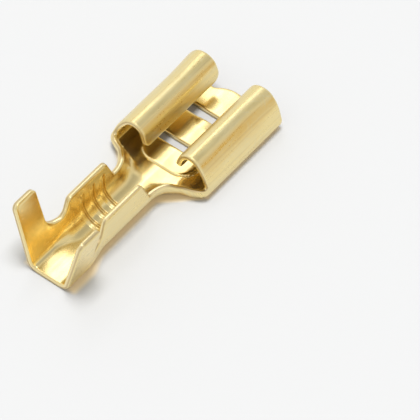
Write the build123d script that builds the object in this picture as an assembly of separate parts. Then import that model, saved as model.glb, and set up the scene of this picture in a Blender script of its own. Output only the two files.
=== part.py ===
"""Female spade terminal: one brass strip, blanked, coined and folded to shape.

Frame: +X points to the mouth that takes the tab, +Y runs across, +Z is up.
The folded base lies on Z = 0, and the origin is under the middle of the terminal.
"""
import os
from math import acos, atan2, cos, degrees, radians, sin

from build123d import *

# Sheet
sheet = 0.4

# Receptacle: a flat base with both sides rolled in over the tab
receptacle_width = 7.6
roll_length = 7.3
roll_height = 2.85
roll_corner_radius = 0.75
roll_corner_turn = 105.0
roll_side_radius = 4.1
roll_top_radius = 0.96
roll_top_turn = 118.0
roll_lip_radius = 4.4
lip_front_corner = 0.6
lip_rear_corner = 0.4
tab_gap = 0.8

# Tongue that leads the tab in
tongue_reach = 0.3
tongue_width = 2.4

# Cross slots through the base
slot_width = 0.7
slot_length = 5.6
slot_pitch = 2.9
rear_strip = 1.7

# Tab stop, raised behind the rear slot
stop_width = 4.4
stop_reach = 1.75
stop_corner = 1.1
stop_height = 0.12
stop_slope = 45.0

# Detent dimple, raised behind the front slot
detent_radius = 0.7
detent_height = 0.08

# Wire barrel, with serrations pressed across its inside
conductor_width = 3.2
conductor_radius = 1.5
conductor_height = 3.25
conductor_length = 3.5
conductor_corner = 0.4
serration_count = 3
serration_pitch = 0.97
serration_width = 0.45
serration_depth = 0.13
serration_margin = 0.7
serration_shift = 0.4

# Insulation barrel, with taller wings that lean out
insulation_width = 3.0
insulation_radius = 0.8
insulation_lean = 13.8
insulation_height = 5.15
insulation_length = 1.9
insulation_corner = 0.42

# Gap between the two pairs of wings
wing_gap = 1.8
gap_floor = 1.95
gap_front_slope = 0.15
gap_rear_slope = 0.45
gap_corner = 0.58

# Neck, flaring from the wire barrel to the rolls
neck_length = 3.75
flare_radius = 1.7
flare_angle = 45.0
flare_inset = 0.1
nick_width = 0.75
nick_floor = 1.5
nick_corner = 0.2
shoulder_reach = 1.6
foot_reach = 0.65
foot_height = 0.92
neck_corner = 0.6

# Stations along the terminal, from the rear end to the mouth
total_length = insulation_length + wing_gap + conductor_length + neck_length + roll_length + tongue_reach
x_rear = -total_length / 2
x_insulation = x_rear + insulation_length
x_conductor = x_insulation + wing_gap
x_neck = x_conductor + conductor_length
x_rolls = x_neck + neck_length
x_mouth = x_rolls + roll_length
x_slot = x_rolls + rear_strip + slot_width / 2

# Waste left on every edge that is trimmed after folding
waste = sheet


def fold_line(inset, flat, bends):
    """Line of the folded sheet at a depth under its outer face, from the middle to one edge."""
    line = [Line((0, inset), (flat, inset))]
    for radius, turn, run in bends:
        line.append(JernArc(line[-1] @ 1, line[-1] % 1, radius - inset, turn))
        if run:
            line.append(Line(line[-1] @ 1, line[-1] @ 1 + (line[-1] % 1) * run))
    return line


def half_section(flat, bends):
    """One side of a folded section, from the middle of its base to its edge."""
    outer = fold_line(0, flat, bends)
    inner = fold_line(sheet, flat, bends)
    edge = Line(outer[-1] @ 1, inner[-1] @ 1)
    middle = Line(inner[0] @ 0, outer[0] @ 0)
    return make_face(Curve() + outer + [edge] + inner + [middle])


def across(sketch, x):
    """A section drawn as (Y, Z), set across the terminal at a station."""
    return Plane.YZ.offset(x) * sketch


def whole(half):
    """Both sides of a section."""
    return half + mirror(half, Plane.YZ)


def roll_bends():
    """Bends of one roll: base corner, side, top and lip, which ends above the base by the tab gap."""
    corner = radians(roll_corner_turn)
    corner_top = roll_corner_radius * (1 - cos(corner))
    side_drop = corner_top + roll_side_radius * cos(corner) + roll_top_radius - roll_height
    side = acos(side_drop / (roll_side_radius - roll_top_radius))
    top = side + radians(roll_top_turn)
    lip_start = roll_height - sheet - (roll_top_radius - sheet) * (1 + cos(top))
    lip_drop = (lip_start - sheet - tab_gap) / (roll_lip_radius - sheet)
    lip = radians(360) - acos(cos(top) + lip_drop)
    return [
        (roll_corner_radius, roll_corner_turn, 0),
        (roll_side_radius, degrees(side - corner), 0),
        (roll_top_radius, roll_top_turn, 0),
        (roll_lip_radius, degrees(lip - top), 0),
    ]


def lip_ends(rolls):
    """Edges across the sheet at the lips' corners, in groups from the rear end to the mouth."""
    return rolls.edges().filter_by(lambda edge: abs(edge.length - sheet) < sheet / 100).group_by(Axis.X)


def receptacle():
    """The flat base and the two rolls, with the lips' corners rounded."""
    flat = receptacle_width / 2 - roll_corner_radius
    rolls = extrude(across(whole(half_section(flat, roll_bends())), x_rolls), roll_length)
    rolls = fillet(lip_ends(rolls)[-1], lip_front_corner)
    return fillet(lip_ends(rolls)[0], lip_rear_corner)


def conductor_half(radius):
    """Half of the wire barrel's section with a given corner, and waste left on its edge."""
    flat = conductor_width / 2 - radius
    run = conductor_height + waste - radius
    return half_section(flat, [(radius, 90, run)])


def insulation_half():
    """Half of the insulation barrel's section, with waste left on its edge."""
    lean = radians(insulation_lean)
    flat = insulation_width / 2 - insulation_radius * (1 - sin(lean)) / cos(lean)
    run = (insulation_height + waste - insulation_radius * (1 - sin(lean))) / cos(lean)
    return half_section(flat, [(insulation_radius, 90 - insulation_lean, run)])


def neck_start():
    """Station where the side walls begin to flare, and the straight run that follows the bend."""
    flare = radians(flare_angle)
    reach = (receptacle_width - conductor_width) / 2 - flare_inset
    run = (reach - flare_radius * (1 - cos(flare))) / sin(flare)
    return x_rolls - flare_radius * sin(flare) - run * cos(flare), run


def flare_path(inset, x_flare, run):
    """Plan line of one flaring side wall, at a distance inside its outer face."""
    bend = JernArc((x_flare, conductor_width / 2 - inset), (1, 0), flare_radius + inset, flare_angle)
    return [bend, Line(bend @ 1, bend @ 1 + (bend % 1) * run)]


def neck(x_flare, run):
    """The floor that widens towards the rolls, and the walls, whose bends tighten on the way."""
    path = Wire(flare_path(0, x_flare, run + waste))
    outwards = (path % 1).rotate(Axis.Z, 90)
    end = Plane(path @ 1 - outwards * conductor_width / 2, x_dir=outwards, z_dir=path % 1)
    rear_section = across(conductor_half(conductor_radius), x_flare)
    front_section = end * conductor_half(roll_corner_radius)
    side = sweep([rear_section, front_section], path, multisection=True)
    edge = flare_path(conductor_width / 2, x_flare, run + waste)
    front = Line(edge[-1] @ 1, ((edge[-1] @ 1).X, 0))
    middle = Line(front @ 1, edge[0] @ 0)
    side += extrude(make_face(Curve() + edge + [front, middle]), sheet)
    return side + mirror(side, Plane.XZ)


def wing_outline():
    """Side view of the barrels and neck, with rounded wing corners."""
    x_gap = x_insulation + gap_front_slope
    points = [
        (x_rear, -waste, 0),
        (x_rear, insulation_height, insulation_corner),
        (x_insulation, insulation_height, insulation_corner),
        (x_gap, gap_floor, gap_corner),
        (x_conductor - gap_rear_slope, gap_floor, gap_corner),
        (x_conductor, conductor_height, conductor_corner),
        (x_neck, conductor_height, conductor_corner),
        (x_neck + nick_width, nick_floor, nick_corner),
        (x_rolls - shoulder_reach, nick_floor, neck_corner),
        (x_rolls - foot_reach, foot_height, neck_corner),
        (x_rolls, foot_height, 0),
        (x_rolls, -waste, 0),
    ]
    corners = [(x, z) for x, z, _ in points]
    radii = [radius for _, _, radius in points]
    return make_face(FilletPolyline(*corners, radius=radii, close=True))


def barrels():
    """Insulation barrel, wire barrel and neck, trimmed to their wings."""
    x_flare, run = neck_start()
    wire = whole(conductor_half(conductor_radius))
    grip = whole(insulation_half())
    body = extrude(across(grip, x_rear), insulation_length)
    body += loft([across(grip, x_insulation), across(wire, x_conductor)], ruled=True)
    body += extrude(across(wire, x_conductor), x_flare - x_conductor)
    body += neck(x_flare, run)
    return body & extrude(Plane.XZ * wing_outline(), receptacle_width, both=True)


def tongue():
    """Front edge of the base, bowed out past the rolls to lead the tab in."""
    half = tongue_width / 2
    bow = ThreePointArc((x_mouth, -half), (x_mouth + tongue_reach, 0), (x_mouth, half))
    root = Polyline(bow @ 1, (x_mouth - sheet, half), (x_mouth - sheet, -half), bow @ 0)
    return extrude(make_face(bow + root), sheet)


def slots():
    """The two cross slots, with round ends."""
    slot = extrude(Rot(0, 0, 90) * SlotOverall(slot_length, slot_width), sheet + waste, both=True)
    return [Pos(x_slot + pitch, 0, 0) * slot for pitch in (0, slot_pitch)]


def pad():
    """Plan of the tab stop: square at the slot, rounded towards the wire."""
    x_back = x_slot - slot_width / 2 - stop_reach
    side = stop_width / 2
    corners = [(x_slot, side), (x_back, side), (x_back, -side), (x_slot, -side)]
    return make_face(FilletPolyline(*corners, radius=[0, stop_corner, stop_corner, 0], close=True))


def tab_stop():
    """Pad drawn up from the base behind the rear slot, and the hollow that it leaves below."""
    hollow = extrude(pad(), stop_height, taper=stop_slope)
    return Pos(0, 0, sheet) * hollow, hollow


def half_dome(base):
    """Half of a shallow dome that rises from a level, flat towards the front slot."""
    radius = (detent_radius**2 + detent_height**2) / (2 * detent_height)
    x_detent = x_slot + slot_pitch - slot_width / 2
    ball = Pos(x_detent, 0, base + detent_height - radius) * Sphere(radius)
    cap = split(ball, Plane.XY.offset(base), keep=Keep.TOP)
    return split(cap, Plane.YZ.offset(x_detent), keep=Keep.BOTTOM)


def serrations():
    """Grooves with sloping sides across the inside of the wire barrel, ending below its edges."""
    flat = conductor_width / 2 - conductor_radius
    run = conductor_height - serration_margin - conductor_radius
    floor = fold_line(sheet - serration_depth, flat, [(conductor_radius, 90, run)])
    top = Line(floor[-1] @ 1, (0, (floor[-1] @ 1).Y))
    middle = Line(top @ 1, floor[0] @ 0)
    bore = whole(make_face(Curve() + floor + [top, middle]))
    slope = degrees(atan2(serration_depth, serration_width / 2))
    x_middle = (x_conductor + x_neck) / 2 + serration_shift
    x_first = x_middle - serration_pitch * (serration_count - 1) / 2
    groove = extrude(Plane.YZ * bore, serration_width / 2, both=True, taper=slope)
    return [Pos(x_first + serration_pitch * index, 0, 0) * groove for index in range(serration_count)]


def terminal():
    """The whole terminal as one folded sheet."""
    raised, hollow = tab_stop()
    solid = receptacle() + barrels() + tongue() + raised
    solid -= hollow
    for cut in slots() + serrations():
        solid -= cut
    solid += half_dome(sheet)
    solid -= half_dome(0)
    return solid


os.makedirs("parts", exist_ok=True)
part = terminal()
export_step(part, "parts/terminal.step")
print("terminal", round(part.volume, 2), "mm3", part.is_valid, len(part.solids()), part.bounding_box())
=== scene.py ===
# %% [markdown]
# A female spade terminal, folded in Blender as it is folded in the press.
#
# The real terminal is one strip of brass. A press cuts a flat blank, coins its raised and sunk
# features, and folds it. This lesson does the same: it draws the blank, meshes it while it is
# still flat, and then folds every point of it. The frame holds the engineering solid, and the
# folded sheet takes its place in the picture.

# %% Load the frame
from math import acos, asin, ceil, copysign, cos, hypot, pi, radians, sin, tan

import bmesh
import bpy
import numpy as np
from mathutils import Matrix, Vector
from mathutils.geometry import delaunay_2d_cdt


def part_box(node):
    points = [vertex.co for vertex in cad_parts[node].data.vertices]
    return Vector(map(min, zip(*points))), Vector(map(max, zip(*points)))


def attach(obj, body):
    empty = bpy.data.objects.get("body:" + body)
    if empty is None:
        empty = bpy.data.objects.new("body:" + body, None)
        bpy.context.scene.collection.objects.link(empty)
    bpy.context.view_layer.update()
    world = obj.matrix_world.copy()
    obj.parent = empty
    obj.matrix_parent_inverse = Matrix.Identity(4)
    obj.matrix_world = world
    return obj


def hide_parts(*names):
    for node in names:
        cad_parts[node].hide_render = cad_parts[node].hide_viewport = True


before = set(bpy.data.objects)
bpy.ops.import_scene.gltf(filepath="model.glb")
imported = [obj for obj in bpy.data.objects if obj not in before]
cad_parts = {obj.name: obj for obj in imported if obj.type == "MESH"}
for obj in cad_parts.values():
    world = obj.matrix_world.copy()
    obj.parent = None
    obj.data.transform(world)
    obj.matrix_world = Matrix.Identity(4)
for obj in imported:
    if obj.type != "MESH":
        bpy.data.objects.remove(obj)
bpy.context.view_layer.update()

# %% [markdown]
# Sizes first. A drawing of such a part is in millimetres, so the blank is drawn in them too. The
# rear end, the width and the height are read from the solid, and the stations along the terminal
# follow from its rear end. Only the mesh at the end is in metres, as everything in the frame is.

# %% Sizes of the sheet and the stations along it
MM = 0.001
low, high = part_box("terminal")
x_rear = low.x / MM
x_tip = high.x / MM
half_width = high.y / MM
wing_top = high.z / MM
sheet = 0.4
half = sheet / 2

insulation_length = 1.9
gap_length = 1.8
wire_length = 3.5
neck_length = 3.75
roll_length = 7.3
x_insulation = x_rear + insulation_length
x_wire = x_insulation + gap_length
x_neck = x_wire + wire_length
x_rolls = x_neck + neck_length
x_mouth = x_rolls + roll_length
stations = (x_rear, x_insulation, x_wire, x_neck, x_rolls, x_mouth)
print("stations, in mm:", [round(x, 2) for x in stations])

# %% [markdown]
# The cross section changes along the terminal: a barrel with leaning wings, a U for the wire, a
# neck that flares, and a base with both sides rolled in. All of them are the same thing:
# stretches of strip, each with a length and an angle through which it turns. A floor or a wall
# turns by nothing, a corner turns tightly, and the side of a roll only a little. Lengths are
# those of the middle of the sheet, which a fold neither stretches nor squeezes.

# %% Sections of the fold
ENDLESS = 10.0
grip_half = 1.5
grip_lean_degrees = 13.8
grip_radius = 0.8
grip_turn = radians(90 - grip_lean_degrees)
grip_flat = grip_half - grip_radius * tan(grip_turn / 2)

wire_half = 1.6
wire_radius = 1.5

roll_radius = 0.75
roll_turn = radians(105)
roll_flat = half_width - roll_radius
roll_side = (4.1, radians(24.73))
roll_crown = (0.96, radians(118))
roll_lip = (4.4, radians(13.45))
roll_rest = [((radius - half) * turn, turn) for radius, turn in (roll_side, roll_crown, roll_lip)]
side_start = roll_flat + (roll_radius - half) * roll_turn
lip_edge = side_start + sum(length for length, _ in roll_rest)
print(f"blank is {2 * lip_edge:.2f} mm wide at the rolls")

# %% [markdown]
# Between the stations the section slides from one shape to the next. The neck is the hard part:
# its walls turn out on an arc and then run straight to the rolls. A wall that runs at a slant is
# cut at a slant by a cross section, which stretches its corner sideways, so the section carries
# that stretch as well. The corner itself tightens on the way, slowly at first and quickly near
# the rolls.

# %% The section at any station
flare_radius = 1.7
flare_angle = radians(45)
flare_margin = 0.1
flare_reach = half_width - wire_half - flare_margin
flare_run = (flare_reach - flare_radius * (1 - cos(flare_angle))) / sin(flare_angle)
x_flare = x_rolls - flare_radius * sin(flare_angle) - flare_run * cos(flare_angle)
neck_blend = 0.95
tightening = 3


def ease(t):
    t = min(max(t, 0.0), 1.0)
    return t * t * (3 - 2 * t)


def slide(a, b, t):
    return [p + (q - p) * t for p, q in zip(a, b)]


def neck_section(x):
    along = max(x - x_flare, 0.0)
    angle = min(asin(min(along / flare_radius, 1.0)), flare_angle)
    arc = flare_radius * (1 - cos(angle))
    side = wire_half + arc + (along - flare_radius * sin(angle)) * tan(angle)
    stretch = 1 / cos(angle)
    tight = min(along / (x_rolls - x_flare), 1.0)**tightening
    radius = wire_radius + (roll_radius - wire_radius) * tight
    return side - stretch * radius, radius, pi / 2, stretch


def section(x):
    """Half floor, corner radius, corner angle and sideways stretch at a station."""
    if x < x_wire:
        grip = (grip_flat, grip_radius, grip_turn, 1.0)
        return slide(grip, neck_section(x), ease((x - x_insulation) / (x_wire - x_insulation)))
    roll = (roll_flat, roll_radius, roll_turn, 1.0)
    return slide(neck_section(x), roll, ease((x - x_rolls + neck_blend) / neck_blend))


print("neck starts to flare at", round(x_flare, 2), "mm")

# %% [markdown]
# Folding is a walk across the strip. From the middle it goes along the floor, round each bend and
# up each wall, and where it stops is the folded place of that point. The second function goes the
# other way, from a height on a wall back to the distance from the middle of the blank.


# %% Fold and unfold
def fold(x, s):
    """Place (y, z) of a blank point at a distance s from the middle line."""
    flat, radius, corner, stretch = section(x)
    stretches = [((radius - half) * corner, corner)]
    stretches += roll_rest if x >= x_rolls else [(ENDLESS, 0.0)]
    y = min(abs(s), flat)
    z = half
    left = abs(s) - y
    heading = 0.0
    for length, turn in stretches:
        step = min(left, length)
        ahead = heading + turn * step / length
        if turn:
            y += stretch * length / turn * (sin(ahead) - sin(heading))
            z += length / turn * (cos(heading) - cos(ahead))
        else:
            y += step * cos(heading)
            z += step * sin(heading)
        heading = ahead
        left -= step
    return copysign(y, s), z


def unfold(x, z):
    """Distance from the middle line of the blank to a height on the first wall."""
    flat, radius, turn, _ = section(x)
    reach = radius - half
    rise = radius - reach * cos(turn)
    if z < rise:
        return flat + reach * acos(min((radius - z) / reach, 1.0))
    return flat + reach * turn + (z - rise) / sin(turn)


print("lip ends at", [round(c, 2) for c in fold(x_mouth, lip_edge)], "mm")

# %% [markdown]
# The edge of the blank is a chain of corners, each rounded to its own radius. A punch is never
# quite sharp, and rounded corners also catch light as the real ones do. One helper rounds a chain
# of corners and spreads points along it; it serves the wings, the rolls and the slots.

# %% Rounded chains of corners
EDGE_STEP = 0.1
ARC_STEP = radians(12)
STRAIGHT = pi - 0.01


def spread(points):
    """The same line with points at even steps."""
    line = []
    for a, b in zip(points, points[1:]):
        count = max(ceil((b - a).length / EDGE_STEP), 1)
        line += [a.lerp(b, k / count) for k in range(count)]
    return line + [points[-1]]


def spoke(start, end, centre, t):
    return (start - centre).normalized().slerp((end - centre).normalized(), t)


def trace(corners):
    """Points along (x, y, radius) corners, with arcs at the corners and even steps between."""
    points = [Vector(corners[0][:2])]
    for before, (x, y, radius), after in zip(corners, corners[1:], corners[2:]):
        here = Vector((x, y))
        back = (Vector(before[:2]) - here).normalized()
        ahead = (Vector(after[:2]) - here).normalized()
        opening = back.angle(ahead)
        if radius == 0 or opening > STRAIGHT:
            points.append(here)
            continue
        start = here + back * radius / tan(opening / 2)
        end = here + ahead * radius / tan(opening / 2)
        centre = here + (back + ahead).normalized() * radius / sin(opening / 2)
        count = ceil((pi - opening) / ARC_STEP)
        points += [centre + radius * spoke(start, end, centre, k / count) for k in range(count + 1)]
    points.append(Vector(corners[-1][:2]))
    return spread(points)


print("edge points stand", EDGE_STEP, "mm apart")

# %% [markdown]
# The edge of one half starts at the rear end. It runs over the insulation wing, down into the
# gap, over the wire wing, along the low neck and down to the foot of the roll. Heights here are
# real heights of the folded part, which is how such a part is measured, so they are unfolded to
# the blank.

# %% Edge of the wings and the neck
insulation_height = wing_top - half * cos(grip_turn)
insulation_round = 0.42
gap_height = 1.95
gap_round = 0.58
gap_rear_slope = 0.15
gap_front_slope = 0.45
wire_height = 3.25
wire_round = 0.4
neck_height = 1.5
neck_slope = 0.75
neck_round = 0.2
foot_height = 0.9
foot_start = 1.6
foot_end = 0.65
foot_start_round = 0.6
foot_end_round = 0.5
foot_corner = 0.2
foot_rise = 0.3
foot_top = foot_height + foot_rise
wing_corners = [
    (x_rear, half, 0),
    (x_rear, insulation_height, insulation_round),
    (x_insulation, insulation_height, insulation_round),
    (x_insulation + gap_rear_slope, gap_height, gap_round),
    (x_wire - gap_front_slope, gap_height, gap_round),
    (x_wire, wire_height, wire_round),
    (x_neck, wire_height, wire_round),
    (x_neck + neck_slope, neck_height, neck_round),
    (x_rolls - foot_start, neck_height, foot_start_round),
    (x_rolls - foot_end, foot_height, foot_end_round),
    (x_rolls, foot_height, foot_corner),
    (x_rolls, foot_top, 0),
]
wing_line = [Vector((p.x, unfold(p.x, p.y))) for p in trace(wing_corners)]
print("wings and neck:", len(wing_line), "points")

# %% [markdown]
# From the foot the edge climbs the rear end of the roll, runs along its lip and comes back down
# at the mouth. Between two shallow hollows the mouth bows out to a tongue, which leads the tab
# in. The bow is an arc through the tip. Round the rolls no height is single, so this part is
# drawn on the blank itself.

# %% Edge of the roll and the tongue
lip_rear_round = 0.4
lip_front_round = 0.6
hollow_outer = 2.0
hollow_outer_round = 0.4
hollow_inner = 1.45
hollow_inner_round = 0.2
hollow_depth = 0.25
bow_half = 1.23
bow_back = 0.15
roll_corners = [
    (x_rolls, unfold(x_rolls, foot_top), 0),
    (x_rolls, lip_edge, lip_rear_round),
    (x_mouth, lip_edge, lip_front_round),
    (x_mouth, hollow_outer, hollow_outer_round),
    (x_mouth - hollow_depth, hollow_inner, hollow_inner_round),
    (x_mouth - bow_back, bow_half, 0),
]
roll_line = trace(roll_corners)

bow_steps = 12
bow_reach = x_tip - x_mouth + bow_back
bow_radius = (bow_half**2 + bow_reach**2) / (2 * bow_reach)
bow_swing = asin(bow_half / bow_radius)
bow_angles = [bow_swing * (1 - k / bow_steps) for k in range(1, bow_steps + 1)]
bow_line = [Vector((x_tip - bow_radius * (1 - cos(a)), bow_radius * sin(a))) for a in bow_angles]
print("roll:", len(roll_line), "points, tongue:", len(bow_line), "points")

# %% [markdown]
# The other half of the blank is a mirror of this one. Two round-ended slots cross the base under
# the rolls. Each is a closed chain that runs the other way round, so that the metal is on the
# left of every edge of the blank, outside and in. The ends of a slot are rounded to a hair less
# than half of its width, because two arcs that touch would leave no edge between them.

# %% Outline and slots
rear_line = spread([Vector((x_rear, 0)), wing_line[0]])
half_outline = rear_line[:-1] + wing_line + roll_line[1:] + bow_line
mirrored = [Vector((p.x, -p.y)) for p in reversed(half_outline[1:-1])]
outline = list(reversed(half_outline + mirrored))

slot_half = 0.35
almost = 0.999
slot_round = slot_half * almost
slot_reach = 2.8
slot_gap = 1.7
slot_pitch = 2.9
x_slot = x_rolls + slot_gap + slot_half
slots = []
for x in (x_slot, x_slot + slot_pitch):
    chain = [
        (x - slot_half, 0, 0),
        (x - slot_half, slot_reach, slot_round),
        (x + slot_half, slot_reach, slot_round),
        (x + slot_half, -slot_reach, slot_round),
        (x - slot_half, -slot_reach, slot_round),
        (x - slot_half, 0, 0),
    ]
    slots.append(trace(chain)[:-1])
loops = [outline] + slots
print("outline has", len(outline), "points, slots", [len(slot) for slot in slots])

# %% [markdown]
# Two questions come up again and again while the blank is filled: how far is a point from the
# nearest edge, and is it on the metal at all? Both are answered for many points at once, edge by
# edge. A point is on the metal if a line from it crosses the edges an odd number of times.

# %% Distance to an edge
starts = np.array([p for loop in loops for p in loop])
ends = np.array([p for loop in loops for p in loop[1:] + loop[:1]])


def edge_distance(points):
    """Distance from each point to the nearest edge of the blank."""
    nearest = np.full(len(points), ENDLESS)
    for a, b in zip(starts, ends):
        t = np.clip((points - a) @ (b - a) / ((b - a) @ (b - a)), 0, 1)
        nearest = np.minimum(nearest, np.hypot(*(points - a - t[:, None] * (b - a)).T))
    return nearest


def inside(points):
    """True where a point is on the metal."""
    odd = np.zeros(len(points), bool)
    for a, b in zip(starts, ends):
        spans = (a[1] > points[:, 1]) != (b[1] > points[:, 1])
        rise = b[1] - a[1] if b[1] != a[1] else 1.0
        odd ^= spans & (points[:, 0] < a[0] + (points[:, 1] - a[1]) / rise * (b[0] - a[0]))
    return odd


print("edges of the blank:", len(starts))

# %% [markdown]
# A blanked edge is not square: the punch drags the metal down, so the sheet thins towards the
# edge and its rim is round. That thin bright line is what makes sheet metal read as metal. A
# bevel modifier could round it, but it trips over tight corners. Here rings of points follow
# every edge at a few depths, and the sheet is made thinner on them, along a quarter of an
# ellipse. The outermost ring is the edge itself. In a tight corner a ring can come too close to
# another edge, and such points are left out.

# %% Rings along the edges
edge_reach = 0.16
edge_drop = 0.1
ring_angles = [radians(a) for a in (68, 46, 24, 0)]
ring_keep = 0.9


def inset(loop, depth):
    """Points at a depth inside a closed edge, on its left."""
    ring = []
    for before, here, after in zip(loop[-1:] + loop[:-1], loop, loop[1:] + loop[:1]):
        along = (after - before).normalized()
        ring.append(here + depth * Vector((-along.y, along.x)))
    return ring


blank_points = [p for loop in loops for p in loop]
blank_half = [half - edge_drop] * len(blank_points)
for angle in ring_angles:
    depth = edge_reach * (1 - sin(angle))
    ring = np.array([p for loop in loops for p in inset(loop, depth)])
    ring = ring[edge_distance(ring) > ring_keep * depth]
    blank_points += [Vector(p) for p in ring]
    blank_half += [half - edge_drop * (1 - cos(angle))] * len(ring)
print("edges and rings have", len(blank_points), "points")

# %% [markdown]
# Inside the rings the blank is filled with a lattice. Its lines run along the strip, so that
# every bend is made of long smooth facets, and they are closer where the coining tool leaves
# small forms: the serrations and the tab stop.

# %% Lattice
LATTICE = 0.115
FINE = 0.032
MEDIUM = FINE * 1.5
lattice_gap = 0.4 * LATTICE
serration_pitch = 0.97
serration_shift = 0.4
x_middle = (x_wire + x_neck) / 2 + serration_shift
x_serrations = [x_middle + serration_pitch * k for k in (-1, 0, 1)]
before_serrations = 0.4
after_serrations = 0.3
before_stop = 0.3
after_stop = 1.0
x_fine = (x_serrations[0] - before_serrations, x_serrations[-1] + after_serrations)
x_medium = (x_rolls - before_stop, x_rolls + after_stop)


def evenly(start, end, step):
    return np.linspace(start, end, ceil((end - start) / step), endpoint=False)


x_lines = np.concatenate([
    evenly(x_rear, x_fine[0], LATTICE),
    evenly(*x_fine, FINE),
    evenly(x_fine[1], x_medium[0], LATTICE),
    evenly(*x_medium, MEDIUM),
    evenly(x_medium[1], x_tip, LATTICE),
])
s_lines = np.arange(-ceil(lip_edge / LATTICE), ceil(lip_edge / LATTICE) + 1) * LATTICE
lattice = np.array([(x, s) for x in x_lines for s in s_lines])
lattice = lattice[inside(lattice) & (edge_distance(lattice) > edge_reach + lattice_gap)]
blank_points += [Vector(p) for p in lattice]
blank_half += [half] * len(lattice)
print("lattice has", len(lattice), "points")

# %% [markdown]
# Now the points become a flat mesh. Blender's Delaunay function joins them to triangles and keeps
# the given edges. It fills all that the outline encloses, so the triangles over the slots are
# dropped. It may also merge points, so each point looks up how thick the sheet is where it came
# from.

# %% Flat mesh
FILL_OUTLINE = 1
MERGE = 1e-6
edges = []
for loop in loops:
    first = len(edges)
    edges += [(first + k, first + (k + 1) % len(loop)) for k in range(len(loop))]
joined = delaunay_2d_cdt(blank_points, edges, [], FILL_OUTLINE, MERGE)
flat_points, _, filled, sources, _, _ = joined
middles = [sum((flat_points[i] for i in face), Vector((0, 0))) / len(face) for face in filled]
flat_faces = [face for face, kept in zip(filled, inside(np.array(middles))) if kept]
flat_half = [min(blank_half[i] for i in source) if source else half for source in sources]
print("flat blank:", len(flat_points), "points and", len(flat_faces), "faces")

# %% [markdown]
# A few forms are not folds, and they are added as the press adds them. The tab stop and the
# detent are pushed up from below: a low step that stops the tab, and a dimple that snaps into the
# hole of the tab. The front ends of the rolls are a little rounder than the rest, so their sides
# are moved out there.

# %% Tab stop, detent and rounder rolls
stop_half = 1.95
stop_reach = 1.75
stop_corner = 1.1
stop_height = 0.12
stop_ramp = 0.12
detent_radius = 0.7
detent_height = 0.08
bulge = 0.11
bulge_length = 2.6
bulge_share = 2 / 3
bulge_lean = radians(30)


def pushed_up(x, s):
    """Rise of the floor at the tab stop and at the detent."""
    x_back = x_slot - slot_half - stop_reach
    dx = max(x_back + stop_corner - x, 0)
    ds = max(abs(s) - stop_half + stop_corner, 0)
    stop = stop_height * ease((stop_corner - hypot(dx, ds)) / stop_ramp)
    if x > x_slot:
        stop = 0.0
    x_detent = x_slot + slot_pitch - slot_half
    ball = 1 - ((x - x_detent)**2 + s**2) / detent_radius**2
    dome = detent_height * max(ball, 0) if x < x_detent + slot_half else 0.0
    return stop + dome


def rounder(x, s):
    """How far the side of the roll stands out near the mouth, sideways and up."""
    t = (abs(s) - side_start) / (lip_edge - side_start) / bulge_share
    if not 0 < t < 1:
        return 0.0, 0.0
    out = bulge * ease((x - x_mouth) / bulge_length + 1) * sin(pi * t)**2
    return copysign(out * cos(bulge_lean), s), out * sin(bulge_lean)


print("tab stop rises", stop_height, "mm and the detent", detent_height, "mm")

# %% [markdown]
# Now every point of the blank is folded. The result is the middle face of the sheet, without
# thickness. It is made a mesh for a moment, only to ask Blender for the direction square to it at
# every point and for its open edges.

# %% Fold every point
folded = []
for p in flat_points:
    y, z = fold(p.x, p.y)
    out, up = rounder(p.x, p.y)
    folded.append(Vector((p.x, y + out, z + up + pushed_up(p.x, p.y))))
middle_mesh = bmesh.new()
for place in folded:
    middle_mesh.verts.new(place)
middle_mesh.verts.ensure_lookup_table()
middle_mesh.verts.index_update()
for face in flat_faces:
    middle_mesh.faces.new([middle_mesh.verts[i] for i in face])
middle_mesh.normal_update()
normals = [v.normal.copy() for v in middle_mesh.verts]
open_loops = [e.link_loops[0] for e in middle_mesh.edges if e.is_boundary]
rims = [(loop.vert.index, loop.link_loop_next.vert.index) for loop in open_loops]
print("folded", len(folded), "points, with", len(rims), "open edges")

# %% [markdown]
# The serrations are three grooves across the inside of the wire barrel. They bite into the wire
# when it is crimped. The punch that presses them heaps metal up behind each groove, and both the
# heap and the groove show in the inner skin only. They fade out below the top of the wings.

# %% Serrations
serration_steps = [-0.36, -0.19, -0.13, 0.09, 0.13, 0.2]
serration_heights = [0.0, 0.075, 0.075, -0.13, -0.13, 0.0]
serration_below = 0.7
serration_fade = 0.2
serration_top = unfold(x_serrations[0], wire_height - serration_below)


def serration(x, s):
    """Height of a serration: metal heaped up behind a groove that is steep at its front."""
    nearest = min((x - station for station in x_serrations), key=abs)
    profile = np.interp(nearest, serration_steps, serration_heights)
    return ease((serration_top - abs(s)) / serration_fade) * profile


print("serrations at", [round(x, 2) for x in x_serrations], "mm")

# %% [markdown]
# The middle face gets its thickness last: one skin is moved in by half of the sheet, the other
# out, and a rim joins them. A Solidify modifier could do that for an even sheet, but here the
# edges are thin, and only the inner skin has serrations.
#
# Each point also keeps its place on the blank and its nearness to an edge, so that the finish can
# follow the strip.

# %% Give the sheet its thickness
inner = [p + n * (h + serration(q.x, q.y))
         for p, n, h, q in zip(folded, normals, flat_half, flat_points)]
outer = [p - n * h for p, n, h in zip(folded, normals, flat_half)]
count = len(folded)
faces = [list(face) for face in flat_faces]
faces += [[i + count for i in reversed(face)] for face in flat_faces]
faces += [[a, a + count, b + count, b] for a, b in rims]

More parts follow.
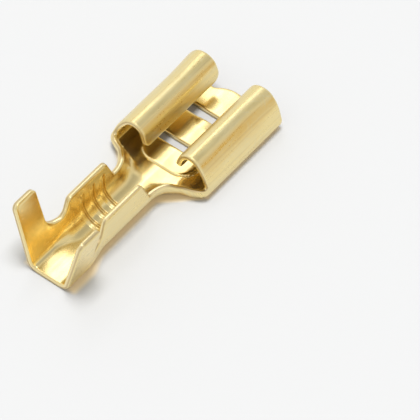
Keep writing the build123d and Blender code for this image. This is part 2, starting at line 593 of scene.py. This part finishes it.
mesh = bpy.data.meshes.new("terminal_sheet")
mesh.from_pydata([p * MM for p in inner + outer], [], faces)
mesh.attributes.new("blank", "FLOAT_VECTOR", "POINT")
mesh.attributes.new("edge", "FLOAT", "POINT")
places = [(q.x, q.y, side) for side in (0.0, 1.0) for q in flat_points]
nearness = [(half - h) / edge_drop for h in flat_half]
mesh.attributes["blank"].data.foreach_set("vector", np.ravel(places))
mesh.attributes["edge"].data.foreach_set("value", nearness + nearness)
print("two skins and a rim:", len(mesh.vertices), "points and", len(mesh.polygons), "faces")

# %% [markdown]
# Pairs of triangles that are nearly flat and nearly square together become one face, which shades
# more smoothly. Points that no face uses go. Then the sheet is handed to the frame: it rides on
# the root, stands for the solid and wears brass.

# %% Smooth the mesh and hand it over
flat_enough = 0.2
square_enough = 0.6
skins = bmesh.new()
skins.from_mesh(mesh)
bmesh.ops.join_triangles(skins, faces=skins.faces[:],
                         angle_face_threshold=flat_enough, angle_shape_threshold=square_enough)
loose = [v for v in skins.verts if not v.link_faces]
bmesh.ops.delete(skins, geom=loose, context="VERTS")
skins.to_mesh(mesh)
mesh.polygons.foreach_set("use_smooth", [True] * len(mesh.polygons))
terminal = bpy.data.objects.new("terminal_sheet", mesh)
bpy.context.scene.collection.objects.link(terminal)
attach(terminal, "root")
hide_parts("terminal")
print("terminal:", len(mesh.vertices), "points and", len(mesh.polygons), "faces")

# %% [markdown]
# Finishes come next, and they are sums: streaks plus grain, times wear. Written as nodes, such
# sums are long and hard to read, so a small class wraps a socket and lets Python's own signs add
# the Math nodes. Anything that isn't a sum comes from one method that takes a node's type, its
# settings and its sockets. A socket is named with its own name, or by its number as i0, i1 and so
# on.


# %% Sums as nodes
class Sum:
    """A socket of a node tree, with arithmetic that adds Math nodes."""

    def __init__(self, tree, socket=None):
        self.tree = tree
        self.socket = socket

    def node(self, kind, settings=None, output=0, **sockets):
        """A new node; settings are set first, then its sockets take values or links."""
        made = self.tree.nodes.new(kind)
        for name, value in (settings or {}).items():
            setattr(made, name, value)
        for name, value in sockets.items():
            numbered = name[0] == "i" and name[1:].isdigit()
            key = int(name[1:]) if numbered else name.replace("_", " ")
            link(self.tree, value, made.inputs[key])
        return Sum(self.tree, made.outputs[output])

    def math(self, operation, a, b=0.0):
        return self.node("ShaderNodeMath", {"operation": operation}, i0=a, i1=b)

    def __add__(self, other):
        return self.math("ADD", self, other)

    def __sub__(self, other):
        return self.math("SUBTRACT", self, other)

    def __rsub__(self, other):
        return self.math("SUBTRACT", other, self)

    def __mul__(self, other):
        return self.math("MULTIPLY", self, other)

    __radd__ = __add__
    __rmul__ = __mul__

    def between(self, low, high):
        """0 below low, 1 above high, and smooth between."""
        settings = {"interpolation_type": "SMOOTHSTEP"}
        return self.node("ShaderNodeMapRange", settings, Value=self, From_Min=low, From_Max=high)

    def tint(self, a, b):
        """Colour a where this is 0 and colour b where it is 1."""
        return self.node("ShaderNodeMix", {"data_type": "RGBA"}, 2, i0=self, i6=a, i7=b)


def link(tree, value, socket):
    if isinstance(value, Sum):
        tree.links.new(value.socket, socket)
    else:
        socket.default_value = value


def finish(name):
    """A new material: a Sum to start from, and the shader that it ends in."""
    material = bpy.data.materials.new(name)
    material.use_nodes = True
    tree = material.node_tree
    return material, Sum(tree), tree.nodes["Principled BSDF"]


print("shader sums are ready")

# %% [markdown]
# Brass strip comes from the mill with fine lines along it, and the press and the tumbling drum
# add a soft haze to its outer face. The inner face is touched less and stays brighter. The lines
# are drawn on the flat blank, with the place that each point kept, so they run round every bend
# with the metal. Object coordinates would cut through the bends. The third number of a place is 0
# on the inner skin and 1 on the outer one. The noise is sampled far apart for the two, so that
# the skins differ.

# %% Place on the blank
SKIN_SHIFT = 9
brass, start, shader = finish("brass")
place = start.node("ShaderNodeAttribute", {"attribute_name": "blank"}, 1)
along = place.node("ShaderNodeSeparateXYZ", None, 0, Vector=place)
across = place.node("ShaderNodeSeparateXYZ", None, 1, Vector=place)
outside = place.node("ShaderNodeSeparateXYZ", None, 2, Vector=place)
cut_edge = start.node("ShaderNodeAttribute", {"attribute_name": "edge"}, 2)


def noise_at(x, y, detail):
    """Noise at a place on the blank."""
    where = start.node("ShaderNodeCombineXYZ", None, 0, X=x, Y=y, Z=outside * SKIN_SHIFT)
    return start.node("ShaderNodeTexNoise", None, 0, Vector=where, Scale=1.0, Detail=detail)


def drawn(per_mm_along, per_mm_across, detail=2.0):
    """Noise that is stretched along the strip where it repeats less often along than across."""
    return noise_at(along * per_mm_along, across * per_mm_across, detail)


streaks = drawn(0.3, 4.5, detail=3.0)
bands = drawn(0.14, 1.6)
patches = drawn(0.7, 0.9, detail=4.0)
grain = drawn(7.0, 11.0)
die_lines = drawn(0.1, 6.0, detail=1.0).between(0.58, 0.68)
print("noise on the blank: streaks, bands, patches, grain and die lines")

# %% [markdown]
# Terminals tumble together in a drum after pressing, and they scratch each other. The scratches
# are short, thin and slanted, they come in groups, and only the outer faces have them. A scratch
# is noise again, stretched along a slant of the blank, of which only the crests are kept. Two
# slants are enough to look like chance.

# %% Scratches
scratch_along = 0.8
scratch_across = 9.0


def scratches(slant, shift):
    """Thin marks that run at a slant to the strip, 1 on a mark and 0 beside it."""
    run = along * cos(slant) + across * sin(slant) + shift
    side = across * cos(slant) - along * sin(slant)
    return noise_at(run * scratch_along, side * scratch_across, 1.0).between(0.62, 0.74)


scratch = scratches(radians(38), 0.0) + scratches(radians(-57), 40.0)
scratch = outside * scratch * patches.between(0.42, 0.62)
print("scratches at two slants")

# %% [markdown]
# A cut face has two zones. The punch first shears the metal and leaves it burnished; then the
# rest tears off and stays matt. On the cut face the side of the sheet runs from 0 on the inner
# skin to 1 on the outer one, so it also says how far across the thickness a point is, and half of
# the face can be told from the other half by it.

# %% Zones of the cut face
fracture = outside.between(0.35, 0.6)
print("cut faces are burnished inside and torn outside")

# %% [markdown]
# The grooves of the serrations are coloured a darker brown. The stations of the grooves are known
# from the fold, so the brown is drawn on the blank too, on the inner face only and as high as the
# grooves go.

# %% Brown in the grooves of the serrations
groove_brown_half = 0.14
groove_brown_core = 0.05
groove_brown_fade = 0.3
low_enough = start.math("ABSOLUTE", across).between(serration_top, serration_top - groove_brown_fade)
# This mask makes the grooves of the serrations browner, on the inner face only.
groove_brown = 0.0
for station in x_serrations:
    off = start.math("ABSOLUTE", along - station)
    groove_brown = groove_brown + off.between(groove_brown_half, groove_brown_core)
groove_brown = groove_brown * low_enough * (1 - outside)
print("tarnish in", len(x_serrations), "grooves")

# %% [markdown]
# Brass is a metal, so its colour is the colour of its mirror: white light comes back as straw
# yellow, and light that has bounced two or three times between the walls comes back amber or
# brown. That is where the deep colour inside the rolls comes from, and nothing has to be painted
# for it.
#
# The paint here is mostly what use and air do. They move the colour a little between straw and
# amber, and leave a greyish bloom on the outer face. The grooves of the serrations are browner, die
# lines and scratches come on top, and a cut face has the two colours of its zones.

# %% Colour of the brass
straw = (0.895, 0.73, 0.36, 1)
amber = (0.87, 0.68, 0.29, 1)
worn = (0.88, 0.72, 0.34, 1)
bloom = (0.83, 0.74, 0.45, 1)
drag = (0.74, 0.60, 0.30, 1)
burnished = (0.90, 0.76, 0.42, 1)
torn = (0.66, 0.52, 0.28, 1)
brown = (0.50, 0.33, 0.11, 1)
amber_patches = 0.5
amber_bands = 0.4
bloom_streaks = 0.6
groove_brown_depth = 0.8
drag_depth = 0.5
scratch_depth = 0.7
ageing = patches.between(0.35, 0.75) * amber_patches + bands.between(0.4, 0.7) * amber_bands
fresh_skin = ageing.tint(straw, amber)
satin_skin = (streaks.between(0.35, 0.7) * bloom_streaks).tint(worn, bloom)
# Here the grooves of the serrations turn brown.
colour = (groove_brown * groove_brown_depth).tint(outside.tint(fresh_skin, satin_skin), brown)
colour = (outside * die_lines * drag_depth).tint(colour, drag)
colour = (scratch * scratch_depth).tint(colour, bloom)
colour = cut_edge.between(0.75, 1.0).tint(colour, fracture.tint(burnished, torn))
link(brass.node_tree, colour, shader.inputs["Base Color"])
shader.inputs["Metallic"].default_value = 1.0
print("brass runs from straw to amber, with a bloom outside")

# %% [markdown]
# The inner face is hardly touched in the drum and is the brightest. The outer face is satin, and
# its streaks differ in sheen more than in colour, so the same noise drives the roughness. Each
# pair of numbers is what a skin has inside, and how much more it has outside. Noise is about a
# half on average, so that half is taken off where a sheen is to vary both ways.

# %% Sheen of the brass
MEAN = 0.5
smooth = (0.23, 0.12)
band_sheen = 0.12
patch_sheen = 0.16
streak_sheen = (0.12, 0.26)
grain_sheen = (0.08, 0.2)
scratch_sheen = 0.08
burnished_sheen = 0.2
torn_extra = 0.25


def on_skins(inside_value, more_outside):
    return inside_value + outside * more_outside


sheen = on_skins(*smooth) + (bands - MEAN) * band_sheen + (patches - MEAN) * patch_sheen
sheen = sheen + (streaks - MEAN) * on_skins(*streak_sheen)
sheen = sheen + (grain - MEAN) * on_skins(*grain_sheen) + scratch * scratch_sheen
cut_sheen = burnished_sheen + fracture * torn_extra
sheen = sheen + cut_edge.between(0.5, 1.0) * (cut_sheen - sheen)
link(brass.node_tree, sheen, shader.inputs["Roughness"])
print("roughness is about", smooth[0], "inside and", round(sum(smooth), 2), "outside")

# %% [markdown]
# A bump of a few thousandths of a millimetre breaks the reflections up along the strip. It is
# only the grain of the skin: more than that would look like brushed steel, and every form that is
# large enough to be seen as a form is in the mesh.

# %% Relief of the brass
streak_relief = (0.4, 0.6)
grain_relief = (0.2, 0.35)
scratch_relief = 0.4
die_relief = 0.4
relief_height = 5e-6
relief_strength = 0.8
relief = streaks * on_skins(*streak_relief) + grain * on_skins(*grain_relief)
relief = relief - scratch * scratch_relief - outside * die_lines * die_relief
bump = start.node("ShaderNodeBump", None, 0, Height=relief, Strength=relief_strength,
                  Distance=relief_height)
link(brass.node_tree, bump, shader.inputs["Normal"])
mesh.materials.append(brass)
print("relief is", relief_height / MM, "mm high")

# %% [markdown]
# The terminal lies on a sheet of plain paper. A plane from Blender's own menu would do as well;
# here it is a mesh of four corners, made in the same way as the sheet of brass. It is so large that
# its edge never comes into view. It belongs to the stage and not to the part.

# %% Floor
floor_reach = 0.6
floor_signs = ((-1, -1), (1, -1), (1, 1), (-1, 1))
floor_mesh = bpy.data.meshes.new("floor")
floor_corners = [(x * floor_reach, y * floor_reach, 0) for x, y in floor_signs]
floor_mesh.from_pydata(floor_corners, [], [(0, 1, 2, 3)])
floor = bpy.data.objects.new("floor", floor_mesh)
bpy.context.scene.collection.objects.link(floor)
print("floor reaches", floor_reach, "m to each side")

# %% [markdown]
# Paper scatters light evenly, so it is rough and has no shine of its own. A paper that is really
# white would throw so much light back up that the shadow under the barrels would vanish; this one
# is a middle grey, and the lamp above makes it look white.
#
# Under its curved sides the terminal hides the lamp from the paper, but its own brass throws warm
# light there, so the shadow is beige and not grey. A renderer finds such light only by chance,
# and shows it as grain. It is painted instead: a strip of paler, warmer paper that follows the
# edge of the terminal, only as wide as the sides hang over.

# %% Paper
paper_grey = (0.475, 0.478, 0.48, 1)
# This warm colour is painted bounce light from the brass, not a colour of the paper.
painted_bounce_warm = (0.9, 0.77, 0.55, 1)
flare_start = 0.6
wing_overhang = 0.5
strip_outside = (-0.05, 0.4)
strip_inside = (1.3, 0.9)
strip_rear = (x_rear, x_rear + 0.4)
strip_front = (x_mouth + 0.08, x_mouth - 0.2)
paper, start, shader = finish("paper")
spot = start.node("ShaderNodeTexCoord", None, 3)
x_spot = start.node("ShaderNodeSeparateXYZ", None, 0, Vector=spot) * (1 / MM)
y_spot = start.node("ShaderNodeSeparateXYZ", None, 1, Vector=spot)
y_spot = start.math("ABSOLUTE", y_spot) * (1 / MM)
side_edge = wire_half + start.math("MAXIMUM", x_spot - (x_flare + flare_start), 0.0)
side_edge = start.math("MINIMUM", side_edge, half_width)
side_edge = side_edge + wing_overhang * x_spot.between(x_wire, x_insulation)
under = side_edge - y_spot
# This strip is where the painted bounce light goes: under the sides of the terminal.
strip = under.between(*strip_outside) * under.between(*strip_inside)
strip = strip * x_spot.between(*strip_rear) * x_spot.between(*strip_front)
link(paper.node_tree, strip.tint(paper_grey, painted_bounce_warm), shader.inputs["Base Color"])
shader.inputs["Roughness"].default_value = 1.0
shader.inputs["Specular IOR Level"].default_value = 0.0
floor_mesh.materials.append(paper)
print("paper is grey, and warm under the sides of the terminal")

# %% [markdown]
# Bright metal shows the room more than it shows itself, so the room is part of the finish. It is
# a pale dome with four things in it: a brighter wall behind the terminal, a slightly brighter one
# in front, a dull beam overhead, and a warm card low in front. A roll is a round mirror, and it
# shows them one after the other as bands along its length: pale, dull, pale and amber.
#
# Each of them is a patch round one direction. The dot product of two directions says how close
# they are.

# %% Room
world = bpy.data.worlds.new("studio")
bpy.context.scene.world = world
world.use_nodes = True
start = Sum(world.node_tree)
direction = start.node("ShaderNodeTexCoord")


def towards(x, y, z):
    """1 towards a side of the room, 0 across it and -1 away from it."""
    way = Vector((x, y, z)).normalized()
    return start.node("ShaderNodeVectorMath", {"operation": "DOT_PRODUCT"}, 1, i0=direction, i1=way)


white = (1, 1, 1, 1)
card_colour = (0.80, 0.60, 0.30, 1)
dome_light = 0.73
far_light = 0.2
near_light = 0.14
beam_shade = 0.3
far_wall = far_light * towards(0.2, 0.9, 0.3).between(-0.2, 0.8)
near_wall = near_light * towards(0.2, -0.95, 0.1).between(0.4, 0.95)
beam = beam_shade * towards(0.5, -0.15, 0.85).between(0.88, 0.99)
warm_card = towards(0.5, -0.83, 0.18).between(0.87, 0.985)
background = world.node_tree.nodes["Background"]
link(world.node_tree, warm_card.tint(white, card_colour), background.inputs["Color"])
link(world.node_tree, dome_light + far_wall + near_wall - beam, background.inputs["Strength"])
print("room: dome, far wall, near wall, beam and warm card")

# %% [markdown]
# Three lamps do the rest. The long window hangs behind the terminal, where the flat floors of the
# barrels and of the base mirror it to the camera, so they flash white. The lamp straight above
# gives the short soft shadow under the curved sides and lights the paper through the slots. The
# brass doesn't mirror that lamp, because a small strong lamp in a curved mirror would sprinkle
# the walls with bright dots. A much weaker glint beside it is mirrored in its place: it puts the
# orange glow on the inside of the far wings and the sparkle on the serrations.


# %% Lamps
def softbox(name, way, distance, length, width, radiance):
    """A light that faces the terminal; its radiance is how bright it looks in the brass."""
    data = bpy.data.lights.new(name, "AREA")
    data.shape = "RECTANGLE"
    data.size = length
    data.size_y = width
    data.energy = radiance * pi * length * width
    light = bpy.data.objects.new(name, data)
    back = Vector(way).normalized()
    side = Vector((0, 1, 0)).cross(back).normalized()
    turn = Matrix((side, back.cross(side), back)).transposed()
    light.matrix_world = Matrix.Translation(back * distance) @ turn.to_4x4()
    bpy.context.scene.collection.objects.link(light)
    return light


window = softbox("window", (0.28, 0.43, 0.86), distance=0.4, length=0.3, width=0.065, radiance=2.0)
glint = softbox("glint", (-0.1, 0.0, 1.0), distance=0.5, length=0.15, width=0.15, radiance=3.0)
lamp = softbox("lamp", (0.0, -0.03, 1.0), distance=0.5, length=0.17, width=0.17, radiance=28.3)
lamp.visible_glossy = False
watts = {light.name: round(light.data.energy, 3) for light in (window, glint, lamp)}
print("lamps, in watts:", watts)

# %% [markdown]
# The camera looks down at the terminal from its rear, past the near wings, as one would pick it
# up. It stands far off with a long lens, so that the two rolls look as parallel as they are. Its
# place is given as an aim on the floor, two angles, a small roll and a distance; the lens follows
# from how large a millimetre is to look.

# %% Camera
aim = Vector((1.079, -4.292, 0)) * MM
azimuth = radians(-52.56)
elevation = radians(51.25)
roll = radians(0.83)
distance = 262.97
pixels_per_mm = 16.41
image_side = 420
right = Vector((cos(azimuth), sin(azimuth), 0))
back = Vector((cos(elevation) * sin(azimuth), -cos(elevation) * cos(azimuth), sin(elevation)))
turn = Matrix.Rotation(roll, 3, back)
axes = Matrix((turn @ right, turn @ back.cross(right), back)).transposed()
camera_data = bpy.data.cameras.new("camera")
camera_data.sensor_width = 36
camera_data.lens = pixels_per_mm * distance / image_side * camera_data.sensor_width
camera_data.clip_start = 0.01
camera = bpy.data.objects.new("camera", camera_data)
camera.matrix_world = Matrix.Translation(aim + back * distance * MM) @ axes.to_4x4()
bpy.context.scene.collection.objects.link(camera)
bpy.context.scene.camera = camera
bpy.context.scene.view_settings.view_transform = "Standard"
print(f"camera at {distance:.0f} mm with a lens of {camera_data.lens:.0f} mm")
